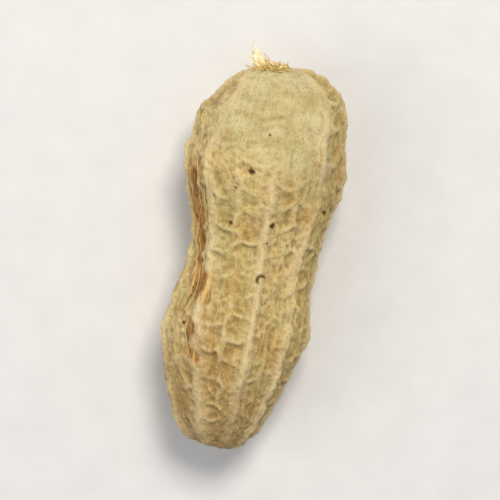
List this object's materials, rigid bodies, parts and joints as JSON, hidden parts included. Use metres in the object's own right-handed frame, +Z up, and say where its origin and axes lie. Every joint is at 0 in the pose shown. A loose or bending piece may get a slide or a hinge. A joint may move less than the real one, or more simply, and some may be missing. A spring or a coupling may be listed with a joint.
{
  "type": "peanut",
  "caption": "Whole peanut in its shell: a two-lobed pod with lengthwise ridges, a raised net and the torn stub of its stalk.",
  "frame": {"origin": "middle of the box in plan, on the surface that the pod lies on", "axes": "+Y along the pod from its tip to its stem end, +Z up, +X to the right seen from above with the stem end away"},
  "size_m": [0.0162, 0.0394, 0.0152],
  "materials": {
    "shell": "dry, matt, fibrous pod wall with dusty pits"
  },
  "bodies": {
    "root": {"pod": "shell"}
  },
  "joints": []
}
